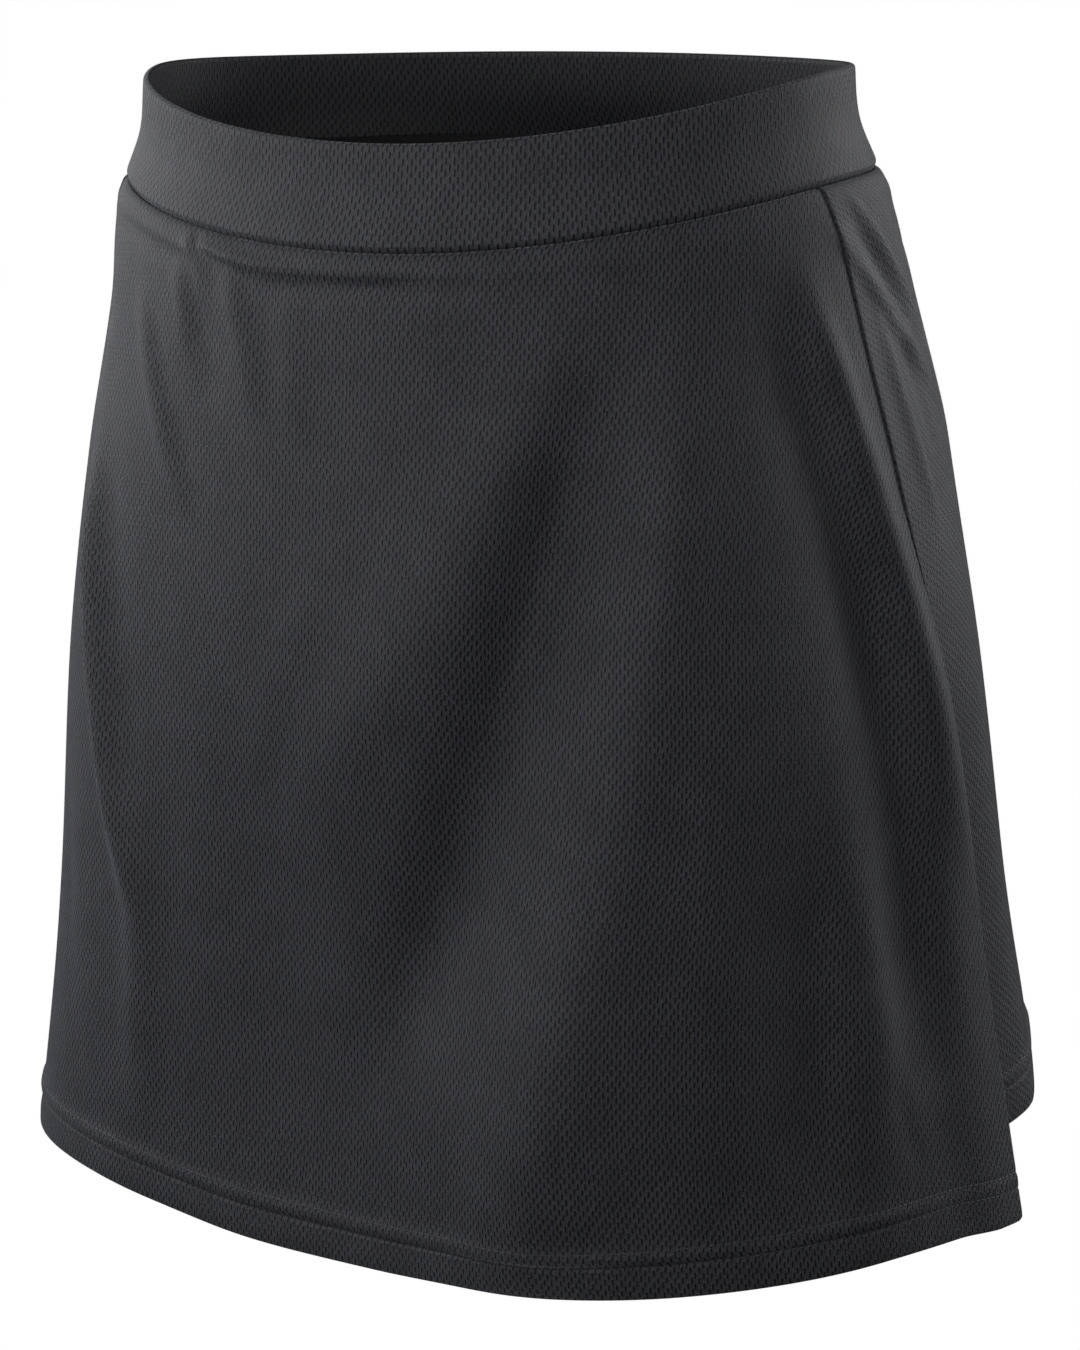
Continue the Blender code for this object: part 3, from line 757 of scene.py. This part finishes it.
def thread_object(name, paths):
    """Threads, each a thin tube along its path, with pointed ends. A path is its points and the cloth's
    normals there."""
    tubes = []
    for path, normals in paths:
        along = np.gradient(path, axis=0)
        along /= np.linalg.norm(along, axis=-1, keepdims=True)
        across = np.cross(along, normals)
        across /= np.linalg.norm(across, axis=-1, keepdims=True)
        upright = np.cross(across, along)
        radius = np.full((len(path), 1), THREAD_WIDTH / 2)
        radius[[0, -1]] = 0.0
        turn = np.linspace(0.0, 2.0 * math.pi, THREAD_SIDES + 1)[:, None, None]
        tube = path + radius * (np.cos(turn) * across + 0.8 * np.sin(turn) * upright)
        flat = np.zeros(tube.shape[:2] + (2,))
        tubes.append(grid_object(name, tube, flat, closed=True))
    joined = bmesh.new()
    for tube in tubes:
        joined.from_mesh(tube.data)
        bpy.data.objects.remove(tube)
    return mesh_object(name, joined)


def even_shares(points, step):
    """Shares of the way along a line of points, an even step apart."""
    length = np.concatenate([[0.0], np.cumsum(np.linalg.norm(np.diff(points, axis=0), axis=-1))])
    count = int(length[-1] / step)
    return np.interp(np.linspace(0.0, length[-1], count + 1), length, np.linspace(0.0, 1.0, len(points)))


def build_hem_stitches(name, angles, hem_drop, lift):
    """Coverstitch: two rows of straight stitches outside, and a thread crossing between them inside."""
    def on_cloth(share, above, out):
        angle = angles[0] + (angles[1] - angles[0]) * share
        drop = np.full_like(share, hem_drop) - above
        return cloth_points(angle, drop, out + lift(angle, drop), hem_drop), plain_normals(angle, drop)

    holes = even_shares(on_cloth(np.linspace(0.0, 1.0, 1500), COVER_LOW, 0.0)[0], STITCH_PITCH)
    # a stitch's points, as shares of the way between its needle holes
    bits = np.array([0.0, 0.10, 0.28, 0.5, 0.72, 0.90])
    shares = np.append((holes[:-1, None] + np.diff(holes)[:, None] * bits).ravel(), 1.0)
    up = np.append(np.tile(1.0 - np.abs(2.0 * bits - 1.0) ** 4, len(holes) - 1), 0.0)
    out = STITCH_RISE - (STITCH_RISE + STITCH_DIVE) * (1.0 - up)
    rows = [on_cloth(shares, above, out) for above in (COVER_LOW, COVER_HIGH)]
    # the looper thread: a rounded zigzag
    turns = np.linspace(0.0, len(holes) - 1.0, 6 * (len(holes) - 1) + 1)
    sway = np.clip(1.35 * np.sin(2.0 * math.pi * turns), -1.0, 1.0)
    above = (COVER_LOW + COVER_HIGH) / 2 + (COVER_HIGH - COVER_LOW) / 2 * sway
    crossing = on_cloth(turns / turns[-1], above, -LAYER - KNIT_WALL - THREAD_WIDTH / 2)
    return thread_object(name, rows + [crossing])


# ----------------------------------------
# Materials
# ----------------------------------------
def linear(hex_colour):
    """An sRGB hex colour as linear RGBA."""
    values = [int(hex_colour[i:i + 2], 16) / 255.0 for i in (1, 3, 5)]
    return tuple(v / 12.92 if v <= 0.04045 else ((v + 0.055) / 1.055) ** 2.4 for v in values) + (1.0,)


def node(tree, kind, inputs=(), **settings):
    """Add a node with its settings, and a value or a link for each input that is named. A node that is
    given as an input stands for its first output."""
    made = tree.nodes.new("ShaderNode" + kind)
    for name, value in settings.items():
        setattr(made, name, value)
    for name, value in dict(inputs).items():
        if isinstance(value, bpy.types.Node):
            value = value.outputs[0]
        if isinstance(value, bpy.types.NodeSocket):
            tree.links.new(value, made.inputs[name])
        else:
            made.inputs[name].default_value = value
    return made


def new_material(name):
    """An empty node material and its tree."""
    made = bpy.data.materials.new(name)
    made.use_nodes = True
    made.node_tree.nodes.clear()
    return made, made.node_tree


def warp_knit_mesh():
    """Polyester warp-knit mesh, dyed in the yarn: rows of upright slots, staggered, in a close matt
    knit. It looks dull face on, with a soft grey sheen where it turns away."""
    made, tree = new_material("polyester_warp_knit_mesh")
    slot_across, slot_down = 2.85, 4.0       # millimetres from slot to slot
    slot_half_width, slot_half_height = 0.31, 1.20
    lean = math.tan(math.radians(3.5))
    uneven = (0.16, 0.10, 0.0)               # of the slots' places, as a share of their spacing
    cut = node(tree, "UVMap", uv_map="flat_cut")
    cells = node(tree, "VectorMath", {0: cut, 1: (1000.0 / slot_across, 1000.0 / slot_down, 0.0)},
                 operation="MULTIPLY")
    masks, rims = [], []
    for shift in (0.0, 0.5):
        moved = node(tree, "VectorMath", {0: cells, 1: (shift, shift, 0.0)}, operation="ADD")
        corner = node(tree, "VectorMath", {0: moved}, operation="FLOOR")
        chance = node(tree, "TexWhiteNoise", {"Vector": corner}, noise_dimensions="3D").outputs["Color"]
        jitter = node(tree, "VectorMath", {0: chance, 1: (0.5, 0.5, 0.5)}, operation="SUBTRACT")
        jitter = node(tree, "VectorMath", {0: jitter, 1: uneven}, operation="MULTIPLY")
        inside = node(tree, "VectorMath", {0: moved}, operation="FRACTION")
        centred = node(tree, "VectorMath", {0: inside, 1: (0.5, 0.5, 0.0)}, operation="SUBTRACT")
        centred = node(tree, "VectorMath", {0: centred, 1: jitter}, operation="ADD")
        place = node(tree, "VectorMath", {0: centred, 1: (slot_across, slot_down, 0.0)},
                     operation="MULTIPLY")
        axes = node(tree, "SeparateXYZ", {0: place})
        leaning = node(tree, "Math", {0: axes.outputs["Y"], 1: -lean, 2: axes.outputs["X"]},
                       operation="MULTIPLY_ADD")
        wide = node(tree, "Math", {0: leaning, 1: 1.0 / slot_half_width}, operation="MULTIPLY")
        wide = node(tree, "Math", {0: wide, 1: wide}, operation="MULTIPLY")
        tall = node(tree, "Math", {0: axes.outputs["Y"], 1: 1.0 / slot_half_height},
                    operation="MULTIPLY")
        tall = node(tree, "Math", {0: tall, 1: tall}, operation="MULTIPLY")
        tall = node(tree, "Math", {0: tall, 1: tall}, operation="MULTIPLY")
        reach = node(tree, "Math", {0: wide, 1: tall}, operation="ADD")
        masks.append(node(tree, "MapRange", {"Value": reach, "From Min": 0.5, "From Max": 1.6, "To Min": 1.0,
                                             "To Max": 0.0}, interpolation_type="SMOOTHSTEP"))
        rims.append(node(tree, "MapRange", {"Value": reach, "From Min": 1.5, "From Max": 7.0, "To Min": 1.0,
                                            "To Max": 0.0}, interpolation_type="SMOOTHSTEP"))
    slots = node(tree, "Math", {0: masks[0], 1: masks[1]}, operation="MAXIMUM")
    rim = node(tree, "Math", {0: rims[0], 1: rims[1]}, operation="MAXIMUM")

    # loops of yarn 0.8 mm apart: coarser than the real 0.4 mm, so that they show
    loops = node(tree, "VectorMath", {0: cut, 1: (1250.0, 900.0, 0.0)}, operation="MULTIPLY")
    loop_noise = node(tree, "TexNoise", {"Vector": loops, "Scale": 1.0, "Detail": 1.0, "Roughness": 0.5},
                      noise_dimensions="2D")
    broad = node(tree, "TexNoise", {"Vector": cut, "Scale": 55.0, "Detail": 2.0}, noise_dimensions="2D")

    height = node(tree, "Math", {0: rim, 1: 0.30}, operation="MULTIPLY")
    height = node(tree, "Math", {0: loop_noise, 1: 0.22, 2: height}, operation="MULTIPLY_ADD")
    height = node(tree, "Math", {0: slots, 1: -1.0, 2: height}, operation="MULTIPLY_ADD")
    bump = node(tree, "Bump", {"Strength": 0.75, "Distance": 0.00045, "Height": height})

    grain = node(tree, "Math", {0: loop_noise, 1: 3.0, 2: broad}, operation="MULTIPLY_ADD")
    grain = node(tree, "MapRange", {"Value": grain, "From Min": 1.25, "From Max": 2.75})
    yarn = node(tree, "Mix", {0: grain, 6: linear("#313236"), 7: linear("#494a50")},
                data_type="RGBA").outputs[2]
    # the band's inner face is painted darker and loses its sheen: painted shade of the hollow inside
    shaded_inner_face = node(tree, "Attribute", attribute_name="shaded_inner_face").outputs["Fac"]
    yarn = node(tree, "Mix", {0: shaded_inner_face, 6: yarn, 7: linear("#323337")}, data_type="RGBA").outputs[2]
    # the slots are painted near black: partly the dark cloth behind them, partly painted shade of the hollow
    # inside seen through the open knit
    colour = node(tree, "Mix", {0: slots, 6: yarn, 7: linear("#08080a")}, data_type="RGBA").outputs[2]
    roughness = node(tree, "MapRange", {"Value": loop_noise, "To Min": 0.56, "To Max": 0.74})
    dull = node(tree, "Math", {0: slots, 1: shaded_inner_face}, operation="MAXIMUM")
    sheen = node(tree, "MapRange", {"Value": dull, "To Min": 0.32, "To Max": 0.03})
    shader = node(tree, "BsdfPrincipled", {
        "Base Color": colour, "Roughness": roughness, "IOR": 1.5, "Specular IOR Level": 0.40,
        "Sheen Weight": sheen, "Sheen Roughness": 0.45, "Sheen Tint": linear("#c9ccd4"),
        "Normal": bump})
    node(tree, "OutputMaterial", {"Surface": shader})
    return made


def plain_jersey():
    """Fine stretch jersey of polyester and elastane: close upright ribs, smooth and darker than the
    mesh, with hardly any sheen."""
    made, tree = new_material("polyester_stretch_jersey")
    cut = node(tree, "UVMap", uv_map="flat_cut")
    # wales 1.1 mm apart: coarser than the real 0.5 mm, so that they show
    wales = node(tree, "VectorMath", {0: cut, 1: (2.0 * math.pi / 0.0011, 2.0 * math.pi / 0.0016, 0.0)},
                 operation="MULTIPLY")
    axes = node(tree, "SeparateXYZ", {0: wales})
    rib = node(tree, "Math", {0: axes.outputs["X"]}, operation="SINE")
    course = node(tree, "Math", {0: axes.outputs["Y"]}, operation="SINE")
    height = node(tree, "Math", {0: course, 1: 0.35, 2: rib}, operation="MULTIPLY_ADD")
    bump = node(tree, "Bump", {"Strength": 0.5, "Distance": 0.00012, "Height": height})
    broad = node(tree, "TexNoise", {"Vector": cut, "Scale": 70.0, "Detail": 2.0}, noise_dimensions="2D")
    colour = node(tree, "Mix", {0: broad, 6: linear("#19191b"), 7: linear("#202023")},
                  data_type="RGBA").outputs[2]
    shader = node(tree, "BsdfPrincipled", {
        "Base Color": colour, "Roughness": 0.7, "IOR": 1.5, "Specular IOR Level": 0.2,
        "Sheen Weight": 0.05, "Sheen Roughness": 0.4, "Normal": bump})
    node(tree, "OutputMaterial", {"Surface": shader})
    return made


def sewing_thread():
    """Spun polyester thread in the cloth's own colour: a fine twist, a little shinier than the knit."""
    made, tree = new_material("spun_polyester_thread")
    place = node(tree, "TexCoord").outputs["Object"]
    # twist 0.7 mm long: coarser than the real 0.3 mm, so that it shows
    twist = node(tree, "TexNoise", {"Vector": place, "Scale": 1400.0, "Detail": 1.0})
    colour = node(tree, "Mix", {0: twist, 6: linear("#3a3b3f"), 7: linear("#505156")},
                  data_type="RGBA").outputs[2]
    bump = node(tree, "Bump", {"Strength": 0.4, "Distance": 0.0001, "Height": twist})
    shader = node(tree, "BsdfPrincipled", {
        "Base Color": colour, "Roughness": 0.5, "IOR": 1.5, "Sheen Weight": 0.3, "Sheen Roughness": 0.4,
        "Normal": bump})
    node(tree, "OutputMaterial", {"Surface": shader})
    return made


def studio_white():
    """Matt white studio paper for floor and backdrop: an even white with hardly any grain."""
    made, tree = new_material("matt_studio_paper")
    place = node(tree, "TexCoord").outputs["Object"]
    grain = node(tree, "TexNoise", {"Vector": place, "Scale": 2.0, "Detail": 2.0})
    colour = node(tree, "Mix", {0: grain, 6: linear("#f6f6f6"), 7: linear("#fafafa")},
                  data_type="RGBA").outputs[2]
    shader = node(tree, "BsdfPrincipled", {
        "Base Color": colour, "Roughness": 0.9, "Emission Color": linear("#ffffff"),
        "Emission Strength": 1.0})
    node(tree, "OutputMaterial", {"Surface": shader})
    return made


# ----------------------------------------
# Camera, light and floor
# ----------------------------------------
def place_camera():
    """A long lens in front, a little to the wearer's left and above the waist."""
    azimuth, elevation, roll = (math.radians(v) for v in (22.6, 12.5, 1.3))
    distance, lens, sensor = 1.584, 112.43, 36.0
    back = Vector((math.sin(azimuth) * math.cos(elevation), -math.cos(azimuth) * math.cos(elevation),
                   math.sin(elevation)))
    right = Vector((math.cos(azimuth), math.sin(azimuth), 0.0))
    up = back.cross(right)
    target = Vector((0.0, 0.0, -0.211)) + right * 0.0112 - up * 0.0156
    rolled_right = right * math.cos(roll) - up * math.sin(roll)
    rolled_up = right * math.sin(roll) + up * math.cos(roll)
    data = bpy.data.cameras.new("camera")
    data.lens = lens
    data.sensor_width = sensor
    data.clip_start = 0.05
    camera = bpy.data.objects.new("camera", data)
    bpy.context.scene.collection.objects.link(camera)
    turned = Matrix((rolled_right, rolled_up, back)).transposed().to_4x4()
    camera.matrix_world = Matrix.Translation(target + back * distance) @ turned
    bpy.context.scene.camera = camera


# Soft boxes: name, angle, height of its middle, distance, width, tall, watts
SOFT_BOXES = (
    ("front_soft_box", 5.0, 0.25, 1.9, 0.8, 1.6, 6.6),
    ("high_soft_box", 30.0, 1.10, 1.5, 0.9, 1.1, 3.4),
    ("near_front_box", -5.0, 0.35, 0.8, 0.45, 0.55, 1.0),
    ("near_left_front_box", -65.0, 0.35, 0.8, 0.45, 0.55, 2.65),
    ("near_left_box", -95.0, 0.35, 0.8, 0.45, 0.55, 2.1),
    ("near_left_rear_box", -125.0, 0.35, 0.8, 0.45, 0.55, 0.8),
    ("near_right_box", 110.0, 0.35, 0.8, 0.45, 0.55, 0.9),
    ("near_right_rear_box", 135.0, 0.35, 0.8, 0.45, 0.55, 2.7),
    ("right_rim_box", 140.0, 0.25, 1.9, 0.8, 1.6, 2.8),
    ("under_box", 0.0, -1.10, 0.02, 0.3, 0.3, 2.5),
)
GARMENT_MIDDLE = Vector((0.0, 0.0, -0.20))


def place_lights():
    """Large soft boxes in front and above, smaller ones close by on both sides, one straight below that
    only reaches the inside, and dim air."""
    for name, angle, height, distance, width, tall, watts in SOFT_BOXES:
        data = bpy.data.lights.new(name, "AREA")
        data.shape = "RECTANGLE"
        data.size = width
        data.size_y = tall
        data.energy = watts
        light = bpy.data.objects.new(name, data)
        turn = math.radians(angle)
        away = Vector((math.sin(turn) * distance, -math.cos(turn) * distance, height))
        light.location = GARMENT_MIDDLE + away
        light.visible_camera = False
        light.rotation_mode = "QUATERNION"
        light.rotation_quaternion = (GARMENT_MIDDLE - light.location).to_track_quat("-Z", "Y")
        bpy.context.scene.collection.objects.link(light)
    world = bpy.data.worlds.new("studio_air")
    world.use_nodes = True
    background = world.node_tree.nodes["Background"]
    background.inputs["Color"].default_value = linear("#dfe3ea")
    background.inputs["Strength"].default_value = 0.004
    bpy.context.scene.world = world


def place_studio():
    """A pale floor far below, so that the skort also shows from underneath, and a pale dome far behind.
    Both only show to the camera, and light nothing."""
    floor_drop, reach = 2.5, 20.0
    floor = bmesh.new()
    bmesh.ops.create_circle(floor, cap_ends=True, segments=96, radius=reach,
                            matrix=Matrix.Translation((0.0, 0.0, -floor_drop)))
    dome = bmesh.new()
    bmesh.ops.create_icosphere(dome, subdivisions=4, radius=reach)
    bmesh.ops.reverse_faces(dome, faces=dome.faces)
    paper = studio_white()
    for name, mesh in (("studio_floor", floor), ("studio_dome", dome)):
        piece = mesh_object(name, mesh)
        piece.data.materials.append(paper)
        piece.visible_diffuse = False
        piece.visible_glossy = False
        piece.visible_transmission = False
        piece.visible_shadow = False


# ----------------------------------------
# The skort
# ----------------------------------------
def finish_piece(piece, finish, node_name=None):
    """Material, body and material slot of a piece, and the solid that it stands for."""
    piece.data.materials.clear()
    piece.data.materials.append(finish)
    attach(piece, "root")
    if node_name:
        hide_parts(node_name)


def front_lift(angle, drop):
    """The front panel's own depth, for what is sewn to it."""
    return np.zeros_like(angle)


def back_lift(angle, drop):
    """The back panel's own depth, for what is sewn to it."""
    past = np.minimum(angle, FULL_TURN - angle) - edge_angle(drop)
    return back_offset(past, drop)


def build_skort():
    """All the pieces, in their finish."""
    mesh_knit, jersey, thread = warp_knit_mesh(), plain_jersey(), sewing_thread()
    band = build_waistband()
    front = build_front_panel()
    back = build_back_panel()
    for piece, node_name in ((band, "waistband"), (front, "front_panel"), (back, "back_panel")):
        finish_piece(piece, mesh_knit, node_name)
    edge_low = float(edge_angle(FRONT_HEM_DROP)) - 0.5
    front_stitches = build_hem_stitches("front_hem_stitches", (-edge_low, edge_low), FRONT_HEM_DROP,
                                        front_lift)
    back_edge = float(edge_angle(BACK_HEM_DROP)) - UNDERLAP_ANGLE + 0.5
    back_stitches = build_hem_stitches("back_hem_stitches", (back_edge, FULL_TURN - back_edge),
                                       BACK_HEM_DROP, back_lift)
    finish_piece(front_stitches, thread)
    finish_piece(back_stitches, thread)
    for name, mirrored in (("shorts_left", False), ("shorts_right", True)):
        shorts = build_shorts(name + "_cloth", mirrored)
        finish_piece(shorts, jersey, name)


bpy.context.scene.view_settings.view_transform = "Standard"
place_camera()
place_lights()
place_studio()
build_skort()
